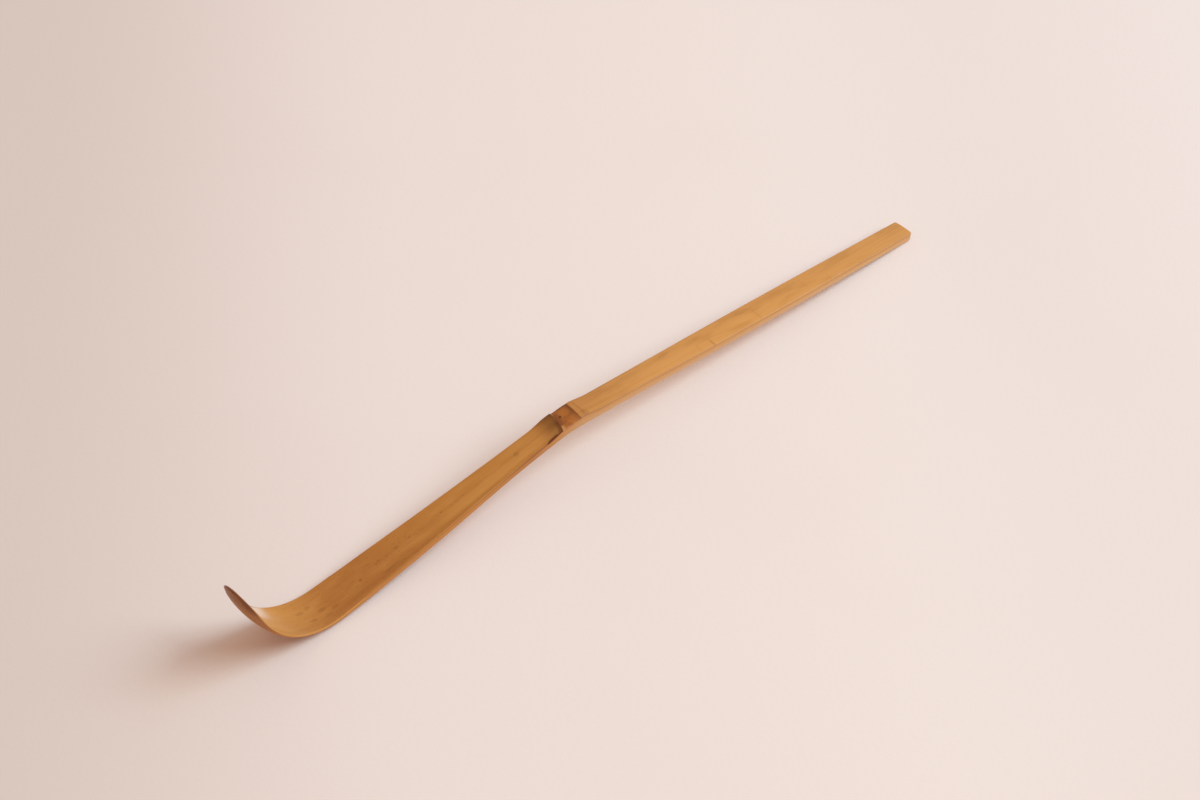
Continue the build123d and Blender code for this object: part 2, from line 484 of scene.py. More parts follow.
class Graph:
    """The node graph of one material, which ends in a principled shader."""

    def __init__(self, name: str) -> None:
        """Start a material of that name with an empty graph.

        Args:
            name: name of the material.
        """
        self.material = bpy.data.materials.new(name)
        self.material.use_nodes = True
        self.tree = self.material.node_tree
        self.tree.nodes.clear()

    def node(
        self, kind: str, settings: dict | None = None, inputs: dict | None = None
    ) -> bpy.types.Node:
        """Add a node.

        Args:
            kind: Blender's type of the node.
            settings: the node's own settings, set first. The key stops holds a ramp's stops.
            inputs: values or links of its sockets, by name or by number.

        Returns:
            The node.
        """
        node = self.tree.nodes.new(kind)
        for key, value in (settings or {}).items():
            if key == "stops":
                points = node.color_ramp.elements
                while len(points) < len(value):
                    points.new(0.5)
                for point, (where, colour) in zip(points, value):
                    point.position = where
                    point.color = colour
            else:
                setattr(node, key, value)
        for key, value in (inputs or {}).items():
            if isinstance(value, Link):
                self.tree.links.new(value.socket, node.inputs[key])
            else:
                node.inputs[key].default_value = value
        return node

    def math(self, operation: str, *values: Feed) -> Link:
        """Add a Math node on values or links."""
        node = self.node("ShaderNodeMath", {"operation": operation}, dict(enumerate(values)))
        return Link(self, node.outputs[0])

    def vector(self, operation: str, *values: Feed) -> bpy.types.Node:
        """Add a Vector Math node on vectors or links."""
        return self.node("ShaderNodeVectorMath", {"operation": operation}, dict(enumerate(values)))

    def coats(self, colour: Feed, *coats: tuple[Feed, Feed]) -> Feed:
        """Lay tints over a colour, one Mix node each.

        Args:
            colour: the colour underneath.
            coats: the share and the tint of each coat, the lowest first.

        Returns:
            The colour on top.
        """
        for share, tint in coats:
            inputs = {0: share, 6: colour, 7: tint}
            mixed = self.node("ShaderNodeMix", {"data_type": "RGBA"}, inputs)
            colour = Link(self, mixed.outputs[2])
        return colour

    def ramp(self, share: Link, stops: tuple) -> Link:
        """Read a colour ramp."""
        node = self.node("ShaderNodeValToRGB", {"stops": stops}, {0: share})
        return Link(self, node.outputs[0])

    def place(self) -> Place:
        """Read where a point lies on the strip, from the piece's own attributes.

        Returns:
            The place, as links of this graph.
        """
        strip = self.node("ShaderNodeAttribute", {"attribute_name": "strip"})
        share = self.node("ShaderNodeAttribute", {"attribute_name": "share"})
        whole = Link(self, strip.outputs["Vector"])
        parts = self.node("ShaderNodeSeparateXYZ", {}, {0: whole})
        along, across, depth = (Link(self, socket) for socket in parts.outputs)
        return Place(whole, along, across, depth, Link(self, share.outputs["Fac"]))

    def noise(self, where: Link, stretch: tuple, detail: float = 3.0, shift: float = 0.0) -> Link:
        """Noise on stretched coordinates.

        Args:
            where: coordinates.
            stretch: grains per unit of each of the three coordinates.
            detail: layers of finer noise.
            shift: moves the pattern, so that two of the same stretch differ.

        Returns:
            The noise, from about 0.2 to 0.8 around 0.5.
        """
        moved = self.vector("MULTIPLY_ADD", where, stretch, (shift, shift, shift))
        inputs = {"Vector": Link(self, moved.outputs[0]), "Scale": 1.0, "Detail": detail}
        inputs["Roughness"] = NOISE_ROUGHNESS
        node = self.node("ShaderNodeTexNoise", {"noise_dimensions": "3D"}, inputs)
        return Link(self, node.outputs[0])

    def finish(self, colour: Feed, rough: Feed, height: Link, gloss: dict) -> bpy.types.Material:
        """Close the graph with a bump and a principled shader.

        Args:
            colour: base colour.
            rough: roughness.
            height: bump, in shares of its depth.
            gloss: values of other sockets of the shader.

        Returns:
            The material.
        """
        inputs = {"Strength": 1.0, "Distance": BUMP_DEPTH * MM, "Height": height}
        normal = Link(self, self.node("ShaderNodeBump", {}, inputs).outputs[0])
        inputs = {"Base Color": colour, "Roughness": rough, "Normal": normal, **gloss}
        shader = self.node("ShaderNodeBsdfPrincipled", {}, inputs)
        self.node("ShaderNodeOutputMaterial", {}, {0: Link(self, shader.outputs[0])})
        return self.material


@dataclass(frozen=True)
class Line:
    """A fine dark line across the skin, which bows along it by a parabola."""

    distance: float
    far: float
    near: float
    bow: float
    width: float
    strength: float
    core: float = 0.2
    fade: float = 0.3
    tint: Colour = RUST

    def mask(self, place: Place) -> Link:
        """Strength of the line at a place.

        Args:
            place: where a point lies.

        Returns:
            The strength, which is 0 off the line.
        """
        middle = (self.near + self.far) / 2
        off = place.along - self.distance - (place.share - middle) ** 2 * self.bow
        reach = place.share.between(self.far, self.near, self.fade)
        return abs(off).short(self.width * self.core, self.width) * reach * self.strength


@dataclass(frozen=True)
class Blot:
    """A soft dark spot or smudge on the skin, an ellipse that fades from its middle."""

    distance: float
    share: float
    length: float
    width: float
    strength: float
    core: float = 0.1
    tint: Colour = BROWN

    def mask(self, place: Place) -> Link:
        """Strength of the blot at a place.

        Args:
            place: where a point lies.

        Returns:
            The strength, which is 0 off the blot.
        """
        along = (place.along - self.distance) / self.length
        share = (place.share - self.share) / self.width
        return (along**2 + share**2).short(self.core, 1.0) * self.strength


@dataclass(frozen=True)
class Flesh:
    """Cut flesh of the culm at the sides and underneath, the same through every zone.

    The back line gives where the painted shade of the scoop's back starts: its place at the middle,
    and how far it moves towards the butt at the near edge.
    """

    fibre: Colour = tone(176, 116, 60)
    blush: Colour = tone(216, 174, 130)
    back_shade: Colour = tone(110, 56, 28)
    back_line: tuple = (182.4, 5.85)
    tones: tuple = (
        (0.0, tone(208, 151, 92)),
        (0.36, tone(207, 149, 90)),
        (0.46, tone(201, 144, 86)),
        (0.52, tone(194, 136, 80)),
        (0.55, tone(190, 129, 74)),
        (0.58, tone(182, 118, 62)),
        (0.66, tone(193, 127, 62)),
        (0.8, tone(192, 126, 63)),
        (0.9, tone(187, 122, 60)),
        (1.0, tone(184, 120, 60)),
    )

    def bundles(self, graph: Graph, place: Place) -> Link:
        """Noise drawn out along the fibre bundles."""
        return graph.noise(place.whole, (0.04, 2.6, 5.0), shift=5.9)

    def colour(self, graph: Graph, place: Place, strip: Strip, bundles: Link) -> Feed:
        """Tones along the strip, streaked by fibre bundles, and paler low on the handle's sides.

        The scoop's back is darkened towards the tip, and most of all along its near brim: painted
        shade.

        Args:
            graph: graph to add to.
            place: where a point lies.
            strip: the strip whose length scales the tones.
            bundles: noise drawn out along the fibres.

        Returns:
            The colour.
        """
        along, share = place.along, place.share
        turn, slant = self.back_line
        pale = place.depth.past(0.1, 1.7) * along.short(84.0, 112.0)
        # painted shade: heat, brim and scorch darken the back of the scoop towards the tip, most
        # along its near brim
        heat = (along + share * slant).past(turn + 0.2, turn + 3.0)
        brim = share.past(0.66, 0.8) * along.past(185.5, 187.5)
        scorch = heat * (0.2 + 0.36 * along.past(185.5, 189.5) + 0.24 * brim)
        return graph.coats(
            graph.ramp(along / strip.length, self.tones),
            (bundles.past(0.46, 0.68) * 0.3, self.fibre),
            (pale * 0.5, self.blush),
            (scorch, self.back_shade),
        )


@dataclass(frozen=True)
class Bamboo:
    """Satin bamboo skin on top, with paler cut flesh at the sides and underneath."""

    name: str
    marks: tuple[Union[Line, Blot], ...] = ()
    smoked: bool = False
    dull: Colour = tone(156, 98, 44)
    gold: Colour = tone(214, 156, 86)
    olive: Colour = tone(108, 62, 20)
    soot: Colour = tone(90, 42, 10)
    painted_sheen: Colour = tone(235, 212, 195)
    flesh: Flesh = Flesh()
    tones: tuple = (
        (0.0, tone(206, 146, 82)),
        (0.12, tone(207, 145, 80)),
        (0.26, tone(213, 150, 82)),
        (0.4, tone(216, 153, 85)),
        (0.46, tone(209, 147, 82)),
        (0.49, tone(198, 136, 73)),
        (0.51, tone(197, 135, 73)),
        (0.56, tone(191, 129, 63)),
        (0.62, tone(189, 126, 59)),
        (0.68, tone(188, 124, 58)),
        (0.79, tone(176, 112, 53)),
        (0.83, tone(180, 116, 56)),
        (0.875, tone(190, 128, 64)),
        # from 0.92 on the stops are paler: partly the tip's own tone, partly painted light in the
        # hollow
        (0.92, tone(200, 138, 70)),
        (1.0, tone(211, 156, 98)),
    )

    def skin(self, graph: Graph, place: Place, strip: Strip, thread: Link, cloud: Link) -> Feed:
        """Colour of the skin: tones along the strip, clouds, faint fibres, streaks and flecks.

        The far wall of the hollow gets a painted highlight: a paler colour for the table's
        reflection.

        Args:
            graph: graph to add to.
            place: where a point lies.
            strip: the strip whose length scales the tones.
            thread: noise drawn out along the fibres.
            cloud: slow noise.

        Returns:
            The colour.
        """
        along, share = place.along, place.share
        fine = graph.noise(place.whole, (0.06, 6.0, 6.0))
        fleck = graph.noise(place.whole, (1.3, 2.4, 2.4), 2.0, 11.7)
        shade = along.between(42.0, 94.0, 20.0) * share.short(-0.5, 0.35)
        light = along.between(114.0, 126.0, 12.0) * share.between(0.2, 0.6, 0.2)
        streak = along.between(114.0, 156.0, 8.0) * place.across.between(2.8, 3.2, 0.6)
        vein = along.between(110.0, 150.0, 8.0) * share.between(-0.1, -0.02, 0.12)
        scorch = along.between(106.0, 168.0, 10.0) * share.between(0.82, 0.9, 0.1)
        specks = along.between(142.0, 168.0, 12.0)
        # painted highlight: pale and gleam lighten the hollow's far wall where the table is
        # reflected; the coat gives the rest
        pale = along.past(172.4, 175.4) * share.short(-0.7, -0.2)
        gleam = (along + 5.0 * share).past(167.5, 171.5) * share.short(-0.5, -0.1)
        return graph.coats(
            graph.ramp(along / strip.length, self.tones),
            (cloud.past(0.48, 0.7) * 0.22, self.dull),
            (cloud.short(0.32, 0.5) * 0.16, self.gold),
            (thread.past(0.5, 0.72) * 0.18, self.dull),
            (fine.past(0.5, 0.72) * 0.24, self.dull),
            (shade * 0.12, self.dull),
            (light * 0.24, self.gold),
            (streak * 0.18, BROWN),
            (vein * fleck.past(0.4, 0.62) * 0.16, BROWN),
            (scorch * fleck.past(0.3, 0.6) * 0.1, RUST),
            (specks * fleck.past(0.58, 0.76) * 0.32, BROWN),
            (pale * 0.4 + gleam * 0.08, self.painted_sheen),
        )

    def smoke(self, graph: Graph, place: Place, strip: Strip, skin: Feed, cloud: Link) -> Feed:
        """Darken the skin next to the node's lip, and draw the lip's own lines.

        Args:
            graph: graph to add to.
            place: where a point lies.
            strip: the strip, for the lip's place.
            skin: colour of the skin.
            cloud: slow noise.

        Returns:
            The colour with its smoke.
        """
        across = place.across
        past = place.along - strip.starts[Zone.RIDGE] - strip.lip_edge(across)
        haze = past.short(0.8, 5.6) * (1 - 0.25 * across.past(0.2, 1.8)) * (0.7 + 0.6 * cloud)
        crest = past.short(0.3, 1.4)
        edge = place.share.short(-0.98, -0.84) * past.short(1.0, 6.0)
        rime = past.short(0.02, 0.16) * across.short(-2.3, -1.7)
        return graph.coats(
            skin,
            (haze * 0.78, self.olive),
            (crest * 0.35, self.soot),
            (crest * across.between(0.5, 2.6, 0.7) * 0.6, self.soot),
            (edge * 0.5, self.soot),
            (rime * 0.4, CHALK),
        )

    def material(self, strip: Strip) -> bpy.types.Material:
        """Build the material on the strip's own coordinates.

        The skin wraps a little way down the sides, further on the blade, and the cut flesh starts
        below it. The edges between the two are browned, and creased at the node's near shoulder,
        where painted shade darkens the crease. A painted highlight lights the near rim of the bend,
        painted shade dims the handle's near arris, and painted shade darkens the scoop's brims and
        end near the tip.

        Args:
            strip: the strip whose zones place the tones.

        Returns:
            The material.
        """
        graph = Graph(self.name)
        place = graph.place()
        along, share, depth = place.along, place.share, place.depth
        thread = graph.noise(place.whole, (0.02, 1.5, 1.5), shift=7.3)
        cloud = graph.noise(place.whole, (0.12, 0.45, 0.45), 2.0, 3.1)
        bundles = self.flesh.bundles(graph, place)
        skin = self.skin(graph, place, strip, thread, cloud)
        if self.smoked:
            skin = self.smoke(graph, place, strip, skin, cloud)
        skin = graph.coats(skin, *((mark.mask(place), mark.tint) for mark in self.marks))

        lip = strip.starts[Zone.RIDGE]
        wrap = 0.12 + 0.33 * along.past(101.5, 105.5) * along.short(128.0, 160.0)
        below = depth - wrap
        cut = below.past(0.0, 0.2)
        brink = abs(share)
        # painted highlight: rim lightens the near rim of the bend with gold, as if lit
        rim = depth.between(0.06, 0.3, 0.06) * along.between(158.0, 170.0, 5.0)
        # painted shade: the brims and the very end of the scoop near the tip are darkened
        side_shade = brink.past(0.9, 0.98) * (along - 5.5 * share).past(178.5, 183.5)
        tip_shade = along.past(strip.length - 0.8, strip.length - 0.2)
        # painted shade that dims the near arris of the handle, which the lamps light
        arris_shade = share.past(0.84, 0.97) * along.short(70.0, 84.0) * below.short(0.3, 0.8)
        seam = abs(below).short(0.05, 0.16) * along.past(30.0, 104.0) * along.short(104.0, 150.0)
        edge = share.past(0.9, 1.0) * below.short(0.0, 0.2)
        trail = along.between(lip + 1.8, lip + 8.0, 12.0)
        # painted shade in the crease at the node's near shoulder, which the bump also dents
        groove = share.past(0.95, 1.0) * along.between(lip + 1.2, lip + 4.6, 0.8)
        hollow = share.past(0.86, 0.96) * along.between(lip + 2.6, lip + 4.2, 0.6)
        shaded_crease = graph.math("MINIMUM", (groove + hollow) * 0.7, 0.88) * below.short(0.04, 0.26)
        colour = graph.coats(
            skin,
            (cut, self.flesh.colour(graph, place, strip, bundles)),
            (rim * brink.past(0.9, 0.97) * 0.6, self.gold),
            (graph.math("MAXIMUM", side_shade, tip_shade) * 0.75, self.flesh.back_shade),
            (arris_shade * 0.14, BROWN),
            (seam * (0.2 + 0.5 * thread), RUST),
            (edge * trail * 0.45, RUST),
            (shaded_crease, self.soot),
        )

        dry = along.between(lip - 1.0, lip + 4.6, 0.8)
        rough = 0.24 + 0.12 * thread + 0.1 * cut + 0.45 * dry
        height = thread * 0.6 + bundles * cut * 0.8 - shaded_crease
        polish = along.past(170.0, 177.0) * share.short(-0.8, -0.1) * depth.short(0.02, 0.1)
        gloss = {"Specular IOR Level": 0.16, "Coat Weight": polish}
        gloss |= {"Coat Roughness": 0.2, "Coat IOR": 2.3}
        return graph.finish(colour, rough, height, gloss)


@dataclass(frozen=True)
class Bark:
    """Red-brown skin of the band between the rings of the node."""

    name: str
    base: Colour = tone(174, 103, 42)
    dark: Colour = tone(126, 66, 20)
    soot: Colour = tone(80, 40, 12)
    lip_shadow: Colour = tone(116, 62, 32)
    tan: Colour = tone(200, 142, 84)
    pit: Blot = Blot(100.9, -0.2, 0.36, 0.13, 0.95)
    flesh: Flesh = Flesh()

    def material(self, strip: Strip) -> bpy.types.Material:
        """Build the material on the strip's own coordinates.

        Args:
            strip: the strip whose zones place the tones.

        Returns:
            The material.
        """
        graph = Graph(self.name)
        place = graph.place()
        along, across = place.along, place.across
        blotch = graph.noise(place.whole, (0.5, 0.6, 0.6), 2.0, 2.3)
        grain = graph.noise(place.whole, (2.0, 5.0, 5.0), shift=8.1)
        start = along - strip.starts[Zone.BAND] - strip.scar_edge(across)
        end = strip.starts[Zone.RIDGE] + strip.lip_edge(across) - along
        shadow = start.short(-0.2, 1.9) * (1 - 0.35 * across.past(0.5, 2.2))
        bundles = self.flesh.bundles(graph, place)
        colour = graph.coats(
            self.base,
            (blotch.past(0.46, 0.66) * 0.4, self.dark),
            (grain.past(0.54, 0.72) * 0.25, self.dark),
            (across.short(-2.5, -1.4) * 0.4, self.dark),
            (place.share.short(-0.98, -0.84) * 0.6, self.soot),
            (shadow * 0.62, self.soot),
            # painted shadow darkens the band along the ridge's lip
            (end.short(0.4, 1.7) * across.between(-1.6, 1.3, 0.6) * 0.72, self.lip_shadow),
            (end.short(0.2, 1.0) * across.past(1.3, 1.8) * 0.65, self.tan),
            (end.short(0.02, 0.25) * across.short(-2.2, -1.4) * 0.5, CHALK),
            (self.pit.mask(place), self.soot),
            (place.depth.past(0.15, 0.42), self.flesh.colour(graph, place, strip, bundles)),
        )
        return graph.finish(colour, 0.4 + 0.2 * grain, grain, {"Specular IOR Level": 0.25})


@dataclass(frozen=True)
class EndGrain:
    """Cut end of the handle, with the dots of the culm's fibre bundles, darker near the skin."""

    name: str
    base: Colour = tone(204, 146, 86)
    dot: Colour = tone(128, 80, 40)
    shade: Colour = tone(166, 110, 58)
    dots_per_mm: float = 3.2

    def material(self, strip: Strip) -> bpy.types.Material:
        """Build the material on the strip's own coordinates.

        Args:
            strip: the strip, for its thickness.

        Returns:
            The material.
        """
        graph = Graph(self.name)
        place = graph.place()
        settings = {"voronoi_dimensions": "3D", "feature": "F1"}
        inputs = {"Vector": place.whole, "Scale": self.dots_per_mm}
        cells = graph.node("ShaderNodeTexVoronoi", settings, inputs)
        crowd = 0.5 + 0.5 * place.depth.short(0.0, strip.thicknesses[0])
        dots = Link(graph, cells.outputs["Distance"]).short(0.18, 0.42) * crowd
        cloud = graph.noise(place.whole, (1.0, 1.0, 1.0), 2.0)
        clouds = cloud.past(0.45, 0.75)
        colour = graph.coats(self.base, (dots * 0.8, self.dot), (clouds * 0.3, self.shade))
        return graph.finish(colour, 0.6 + 0.1 * cloud, dots, {"Specular IOR Level": 0.35})


@dataclass
class Stretch:
    """A closed stretch of the strip from one place on it to another.

    The shares keep the section's roundings apart where the strip is narrow or thin.
    """

    strip: Strip
    zone: Zone
    slot: str
    finish: Union[Bamboo, Bark]
    face_points: int = 49
    corner_points: int = 5
    under_points: int = 25
    wall_steps: tuple = (0.05, 0.2, 0.5, 0.8, 0.95)
    bevel_share: float = 0.6
    edge_share: float = 0.3
    rim_share: float = 0.35
    lower_round: float = 0.12
    lower_share: float = 0.4
    side_least: float = 1.2
    under_inset: float = 0.9
    round_share: float = 0.45

    def rows(self) -> Array:
        """Distances along the face of the rows, at the middle of the strip."""
        raise NotImplementedError

    def skew(self, row: Array, across: Array) -> Array:
        """How far a point lies past its row, where a zone ends askew. A plain stretch has none."""
        return np.zeros_like(row + across)

    def lift(self, distance: Array, across: Array) -> Array:
        """Relief of the face above the culm's round. A plain stretch has none."""
        return np.zeros_like(distance + across)

    def heel(self, row: Array) -> Array:
        """How far the underside is cut up. A plain stretch isn't."""
        return np.zeros_like(row)

    def rounded(self, before: Array, corner: Array, after: Array, reach: Array) -> Array:
        """Round one corner of the section by a quadratic curve.

        The curve leaves the side before the corner and meets the side after it, each at the given
        reach, and the corner is its control point: (1-t)^2 A + 2t(1-t) C + t^2 B.

        Args:
            before: across and up of the point before the corner, one a row.
            corner: across and up of the corner.
            after: across and up of the point after it.
            reach: how far the rounding goes along both sides.

        Returns:
            Across and up, with the rounding's points on the last axis.
        """
        share = np.linspace(0.0, 1.0, self.corner_points)
        ends = []
        for side in (before - corner, after - corner):
            part = np.minimum(reach / np.maximum(np.hypot(*side), 1e-9), self.round_share)
            ends.append(corner + side * part)
        first, last = ends
        return (1 - share) ** 2 * first + 2 * share * (1 - share) * corner + share**2 * last

    def section(self, row: Array) -> tuple[Array, Array, Array]:
        """Outline of the strip at each row, from the near edge over the face and back underneath.

        The face is a parabola across, lifted by the zone's relief. The sides stand square to it,
        and bevels lead to an underside that is flat on the stems and follows the face in the scoop.

        Args:
            row: distances along the face, as a column.

        Returns:
            Across, up and depth below the face, one row each, with the outline on the last axis.
        """
        strip = self.strip
        half = strip.half_width(row)
        full = strip.size(strip.widths, row) / 2
        rise = strip.size(strip.rises, row)
        thick = strip.size(strip.thicknesses, row)
        rim = strip.size(strip.rims, row)
        follow = strip.size(strip.follows, row)
        heel = self.heel(row)

        def face(across: Array) -> Array:
            """Points of the face: across and up."""
            lift = self.lift(row + self.skew(row, across), across)
            return np.stack((across, rise * (across / full) ** 2 + lift))

        def under(across: Array) -> Array:
            """Points of the underside: across and up."""
            return np.stack((across, follow * rise * (across / full) ** 2 - thick + heel))

        bevel = np.minimum(strip.size(strip.bevels, row), half * self.bevel_share)
        reach = np.minimum(half * self.edge_share, rim * self.rim_share)
        reach = np.minimum(reach, strip.size(strip.edges, row))
        lower = np.minimum(self.lower_round, bevel * self.lower_share)
        foot, inner = half - bevel, half - reach
        base = rise * (half / full) ** 2 - rim + heel
        flanks = []
        for sign in (-1.0, 1.0):
            top = face(sign * half)
            side = np.stack((top[0], np.minimum(base, top[1] - reach * self.side_least)))
            low = under(sign * foot)
            edge = self.rounded(face(sign * inner), top, side, reach)
            corner = self.rounded(top, side, low, lower)
            bottom = self.rounded(side, low, under(sign * foot * self.under_inset), lower)
            wall = edge[..., -1:] + (corner[..., :1] - edge[..., -1:]) * np.array(self.wall_steps)
            slope = (corner[..., -1:] + bottom[..., :1]) / 2
            flanks.append(np.concatenate((edge[..., 1:], wall, corner, slope, bottom), axis=-1))
        far, near = flanks
        sweep = np.sin(np.linspace(1.0, -1.0, self.face_points) * np.pi / 2)
        spread = np.linspace(0.0, 1.0, self.under_points + 2)[1:-1]
        bed = under(far[0, :, -1:] + (near[0, :, -1:] - far[0, :, -1:]) * spread)
        outline = (face(sweep * inner), far, bed, near[..., :0:-1])
        across, up = np.concatenate(outline, axis=-1)
        depth = np.maximum(face(np.clip(across, -inner, inner))[1] - up, 0.0)
        depth[:, : self.face_points] = 0.0
        return across, up, depth

    def build(self) -> bpy.types.Object:
        """Make the closed mesh, with its places on the strip kept as attributes.

        Rows and outline form a grid whose columns wrap round, and a flat face closes each end.

        Returns:
            The object, at the origin.
        """
        row = self.rows()[:, None]
        across, up, depth = self.section(row)
        distance = row + self.skew(row, across)
        sway = self.strip.size(self.strip.sways, row)
        points = self.strip.place(distance, across + sway, up)
        count, around = across.shape
        index = np.arange(count * around).reshape(count, around)
        sides = squares(np.concatenate((index, index[:, :1]), axis=1)).tolist()
        ends = [index[0, ::-1].tolist(), index[-1].tolist()]
        mesh = bpy.data.meshes.new(f"{self.zone.value}_mesh")
        mesh.from_pydata(points.reshape(-1, 3).tolist(), [], sides + ends)
        smooth = np.ones(len(mesh.polygons), dtype=bool)
        smooth[-len(ends) :] = False
        mesh.polygons.foreach_set("use_smooth", smooth)
        pairs = np.zeros(len(mesh.edges) * 2, dtype=np.int32)
        mesh.edges.foreach_get("vertices", pairs)
        first, second = (pairs.reshape(-1, 2) // around).T
        sharp = (first == second) & ((first == 0) | (first == count - 1))
        mesh.edges.foreach_set("use_edge_sharp", sharp)
        layers = (
            ("strip", "FLOAT_VECTOR", "vector", np.stack((distance, across, depth), axis=-1)),
            ("share", "FLOAT", "value", across / self.strip.half_width(row)),
        )
        for name, kind, key, values in layers:
            layer = mesh.attributes.new(name, kind, "POINT")
            layer.data.foreach_set(key, values.astype(np.float32).ravel())
        mesh.update()
        return add(f"{self.zone.value}_bamboo", mesh)

    def dress(self, piece: bpy.types.Object) -> None:
        """Give the piece its finish, and set it on the frame in place of its solid.

        Args:
            piece: the piece that was built.
        """
        piece.data.materials.append(self.finish.material(self.strip))
        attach(piece, "root")
        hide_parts(self.zone.value)
        LOG.info("%s: %d faces", piece.name, len(piece.data.polygons))


@dataclass
class Handle(Stretch):
    """The straight stem that is held, with the rounded corners and heel of its butt."""

    butt_rows: int = 14
    stem_rows: int = 190
    end_grain: EndGrain = EndGrain("end_grain")

    def rows(self) -> Array:
        """Rows close together round the butt's rounding, and even over the rest.

        Returns:
            The rows' distances, rising.
        """
        heel, end = self.strip.heel_round, self.strip.handle_length
        butt = heel * (1 - np.cos(np.linspace(0.0, np.pi / 2, self.butt_rows)))
        return np.concatenate((butt, np.linspace(heel, end, self.stem_rows)[1:]))

    def lift(self, distance: Array, across: Array) -> Array:
        """The rise towards the node, and the face's edge at the butt, eased by a quarter circle.

        Args:
            distance: distance along the face.
            across: way to the near side.

        Returns:
            The relief at each point.
        """
        brow = self.strip.brow_round
        level = distance + 0 * across
        return self.strip.lower_swell(level) - brow * (1 - quarter_round(level, brow))

    def heel(self, row: Array) -> Array:
        """The heel, a quarter circle from the underside to the cut end."""
        return self.strip.heel_round * (1 - quarter_round(row, self.strip.heel_round))

    def dress(self, piece: bpy.types.Object) -> None:
        """Dress the stem, and show the grain on its cut end, the last face but one.

        Args:
            piece: the piece that was built.
        """
        super().dress(piece)
        piece.data.materials.append(self.end_grain.material(self.strip))
        piece.data.polygons[len(piece.data.polygons) - 2].material_index = 1


@dataclass
class SheathScar(Stretch):
    """The ring where the culm's sheath sat, which ends in a small step down to the band."""

    step: float = 0.2
    row_count: int = 40
    crowding: float = 1.8

    def rows(self) -> Array:
        """Rows that close up towards the step."""
        left = np.linspace(1.0, 0.0, self.row_count) ** self.crowding
        return self.strip.starts[self.zone] + self.strip.scar_length * (1 - left)

    def skew(self, row: Array, across: Array) -> Array:
        """None at the handle, and all of the scar's slant at the band."""
        share = (row - self.strip.starts[self.zone]) / self.strip.scar_length
        return share * self.strip.scar_edge(across)

    def lift(self, distance: Array, across: Array) -> Array:
        """The last of the rise, and a quarter circle down to the band.

        Args:
            distance: distance along the face.
            across: way to the near side.

        Returns:
            The relief at each point.
        """
        left = self.strip.starts[Zone.BAND] + self.strip.scar_edge(across) - distance
        low = self.strip.waist(np.zeros_like(left))
        return low + (self.strip.lower_swell(distance) - low) * quarter_round(left, self.step)


@dataclass
class NodeBand(Stretch):
    """The band of the node, lower than its rings and finely wrinkled, ending askew at the lip."""

    row_count: int = 70
    wrinkle: float = 0.007
    coarse_pitch: float = 9.0
    fine_pitch: float = 17.0
    fine_share: float = 0.6
    fine_slant: float = 2.1
    meander: float = 1.3
    meander_pitch: float = 1.7
    calm_start: tuple = (0.0, 0.2)
    calm_end: tuple = (0.7, 0.95)

    def rows(self) -> Array:
        """Even rows."""
        start = self.strip.starts[self.zone]
        return np.linspace(start, start + self.strip.band_length, self.row_count)

    def skew(self, row: Array, across: Array) -> Array:
        """The scar's slant at one end, and the lip's slant and bow at the other."""
        share = (row - self.strip.starts[self.zone]) / self.strip.band_length
        return (1 - share) * self.strip.scar_edge(across) + share * self.strip.lip_edge(across)

    def lift(self, distance: Array, across: Array) -> Array:
        """The band's fall, with fine wrinkles, two sine waves that die out towards both ends.

        Args:
            distance: distance along the face.
            across: way to the near side.

        Returns:
            The relief at each point.
        """
        begin = self.strip.starts[Zone.BAND] + self.strip.scar_edge(across)
        end = self.strip.starts[Zone.RIDGE] + self.strip.lip_edge(across)
        share = (distance - begin) / (end - begin)
        calm = ease(share, *self.calm_start) * (1 - ease(share, *self.calm_end))
        stray = self.meander * np.sin(across * self.meander_pitch)
        coarse = np.sin(distance * self.coarse_pitch + stray)
        fine = np.sin(distance * self.fine_pitch - across * self.fine_slant)
        return self.strip.waist(share) + self.wrinkle * (coarse + self.fine_share * fine) * calm


@dataclass
class NodeRidge(Stretch):
    """The ridge of the node, which rises from the band to a round lip and falls into the blade."""

    step: float = 0.3
    row_count: int = 56
    crowding: float = 1.8

    def rows(self) -> Array:
        """Rows that open up away from the lip."""
        share = np.linspace(0.0, 1.0, self.row_count) ** self.crowding
        return self.strip.starts[self.zone] + self.strip.ridge_length * share

    def skew(self, row: Array, across: Array) -> Array:
        """All of the slant and bow at the lip, and none at the blade."""
        share = (row - self.strip.starts[self.zone]) / self.strip.ridge_length
        return (1 - share) * self.strip.lip_edge(across)

    def lift(self, distance: Array, across: Array) -> Array:
        """A quarter circle up from the band to the lip, and a slow fall.

        Args:
            distance: distance along the face.
            across: way to the near side.

        Returns:
            The relief at each point.
        """
        past = distance - self.strip.starts[Zone.RIDGE] - self.strip.lip_edge(across)
        low = self.strip.waist(np.ones_like(past))
        crest = self.strip.upper_swell(distance, across)
        return low + (crest - low) * quarter_round(past, self.step)


@dataclass
class Blade(Stretch):
    """The flat stem that widens from the node to the scoop."""

    fade_length: float = 4.0
    fade_rows: int = 30
    stem_rows: int = 110

    def rows(self) -> Array:
        """Rows close together where the ridge dies out, and even over the rest.

        Returns:
            The rows' distances, rising.
        """
        start, end = self.strip.starts[Zone.BLADE], self.strip.starts[Zone.SCOOP]
        fade = np.linspace(start, start + self.fade_length, self.fade_rows)
        return np.concatenate((fade[:-1], np.linspace(fade[-1], end, self.stem_rows)))

    def lift(self, distance: Array, across: Array) -> Array:
        """The rest of the ridge's fall."""
        return self.strip.upper_swell(distance + 0 * across, across)


